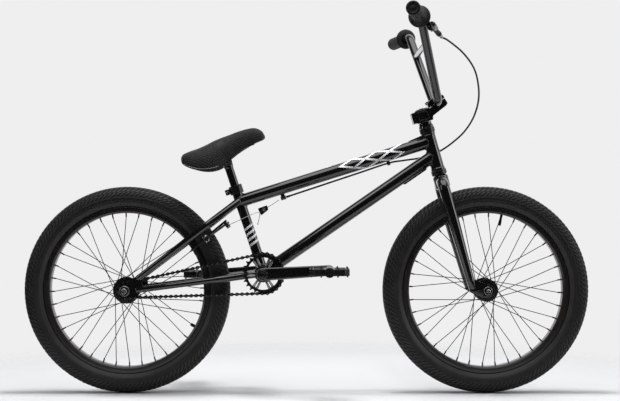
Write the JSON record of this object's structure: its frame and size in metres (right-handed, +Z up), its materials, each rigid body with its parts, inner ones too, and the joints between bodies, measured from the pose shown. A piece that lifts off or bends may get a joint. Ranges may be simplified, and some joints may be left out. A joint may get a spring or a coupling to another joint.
{
  "type": "bmx bike",
  "caption": "Small-wheeled freestyle bicycle: diamond frame, high braced handlebar, one rear rim brake, slotted sprocket, padded pivotal saddle and platform pedals.",
  "frame": {"origin": "on the ground, midway between the two axles and in the wheels' middle plane", "axes": "+X forward, +Y to the rider's left, +Z up; the drive side is -Y"},
  "size_m": [1.429, 0.7152, 0.9496],
  "materials": {
    "gloss_black": "gloss black paint",
    "satin_black": "satin black anodised",
    "rim_black": "matte near-black anodised",
    "graphite": "satin dark graphite",
    "steel": "bare steel, dulled",
    "black_steel": "black oxide steel",
    "tyre_rubber": "matte black rubber",
    "grip_rubber": "matte black rubber",
    "tube_rubber": "matte black rubber",
    "plastic": "matte black nylon",
    "saddle_cloth": "matte black embossed vinyl",
    "housing": "semi-gloss black sleeve"
  },
  "bodies": {
    "frame": {"head_tube": "gloss_black", "top_tube": "gloss_black", "down_tube": "gloss_black", "seat_tube": "gloss_black", "bb_shell": "gloss_black", "chainstay_left": "gloss_black", "chainstay_right": "gloss_black", "seatstay_left": "gloss_black", "seatstay_right": "gloss_black", "seat_clamp": "satin_black", "headset_cup_upper": "satin_black", "headset_cup_lower": "satin_black", "bb_bearing_left": "steel", "bb_bearing_right": "steel", "rear_axle": "steel", "rear_nut_left": "black_steel", "rear_nut_right": "black_steel", "chain": "black_steel", "brake_housing": "housing"},
    "fork": {"fork": "gloss_black", "headset_cover": "satin_black", "stem": "satin_black", "stem_bar_cap": "satin_black", "handlebar": "gloss_black", "grip_left": "grip_rubber", "grip_right": "grip_rubber", "lever_bracket": "satin_black", "front_axle": "steel", "front_nut_left": "black_steel", "front_nut_right": "black_steel"},
    "lever": {"brake_lever": "satin_black"},
    "front_wheel": {"front_tyre": "tyre_rubber", "front_inner_tube": "tube_rubber", "front_rim": "rim_black", "front_spokes_left": "black_steel", "front_spokes_right": "black_steel", "front_hub": "satin_black"},
    "rear_wheel": {"rear_tyre": "tyre_rubber", "rear_inner_tube": "tube_rubber", "rear_rim": "rim_black", "rear_spokes_left": "black_steel", "rear_spokes_right": "black_steel", "rear_hub": "satin_black"},
    "driver": {"rear_driver": "black_steel"},
    "crankset": {"crank_spindle": "steel", "crank_arm_left": "gloss_black", "crank_arm_right": "gloss_black", "sprocket": "graphite", "pedal_spindle_left": "steel", "pedal_spindle_right": "steel"},
    "pedal_left": {"pedal_left": "plastic"},
    "pedal_right": {"pedal_right": "plastic"},
    "seat": {"seatpost": "gloss_black"},
    "saddle": {"saddle_pad": "saddle_cloth", "saddle_base": "plastic"},
    "brake_arm_left": {"brake_arm_left": "satin_black", "brake_pad_left": "tyre_rubber"},
    "brake_arm_right": {"brake_arm_right": "satin_black", "brake_pad_right": "tyre_rubber"},
    "yoke": {"brake_yoke": "steel"}
  },
  "joints": [
    {"name": "steering", "type": "hinge", "parent": "frame", "child": "fork", "pos_m": [0.3211, 0, 0.6116], "axis": [-0.2723, 0, 0.9622], "range_deg": [-80, 80], "deforming": ["brake_housing"]},
    {"name": "front_wheel_spin", "type": "hinge", "parent": "fork", "child": "front_wheel", "pos_m": [0.4535, 0, 0.261], "axis": [0, 1, 0], "continuous": true},
    {"name": "rear_wheel_spin", "type": "hinge", "parent": "frame", "child": "rear_wheel", "pos_m": [-0.4535, 0, 0.261], "axis": [0, 1, 0], "continuous": true},
    {"name": "crank_spin", "type": "hinge", "parent": "frame", "child": "crankset", "pos_m": [-0.1084, 0, 0.3036], "axis": [0, 1, 0], "continuous": true},
    {"name": "driver_spin", "type": "hinge", "parent": "frame", "child": "driver", "pos_m": [-0.4535, 0, 0.261], "axis": [0, 1, 0], "continuous": true},
    {"name": "pedal_left_spin", "type": "hinge", "parent": "crankset", "child": "pedal_left", "pos_m": [-0.27311, 0, 0.29381], "axis": [0, 1, 0], "continuous": true},
    {"name": "pedal_right_spin", "type": "hinge", "parent": "crankset", "child": "pedal_right", "pos_m": [0.05631, 0, 0.31339], "axis": [0, 1, 0], "continuous": true},
    {"name": "seat_height", "type": "slide", "parent": "frame", "child": "seat", "axis": [-0.314, 0, 0.9494], "range_m": [-0.04, 0.05]},
    {"name": "seat_tilt", "type": "hinge", "parent": "seat", "child": "saddle", "pos_m": [-0.2015, 0, 0.585], "axis": [0, 1, 0], "range_deg": [-15, 15]},
    {"name": "brake_lever", "type": "hinge", "parent": "fork", "child": "lever", "pos_m": [0.29724, -0.22225, 0.90039], "axis": [-0.6167, 0.1074, -0.7798], "range_deg": [0, 16], "stiffness_Nm_per_rad": 1.2, "springref_deg": -2.86},
    {"name": "brake_arm_left", "type": "hinge", "parent": "frame", "child": "brake_arm_left", "pos_m": [-0.25714, 0.038, 0.39707], "axis": [-0.6101, 0, 0.7923], "range_deg": [0, 3.4]},
    {"name": "brake_arm_right", "type": "hinge", "parent": "frame", "child": "brake_arm_right", "pos_m": [-0.25348, -0.038, 0.39232], "axis": [0.6101, 0, -0.7923], "range_deg": [0, 3.4]},
    {"name": "yoke_slide", "type": "slide", "parent": "frame", "child": "yoke", "axis": [0.8944, 0, 0.4472], "range_m": [0, 0.0034]}
  ],
  "couplings": [
    {"joint": "driver_spin", "follows": "crank_spin", "ratio": 2.7778},
    {"joint": "brake_arm_left", "follows": "brake_lever", "ratio": 0.195},
    {"joint": "brake_arm_right", "follows": "brake_lever", "ratio": 0.195},
    {"joint": "yoke_slide", "follows": "brake_lever", "m_per_rad": 0.0118}
  ]
}
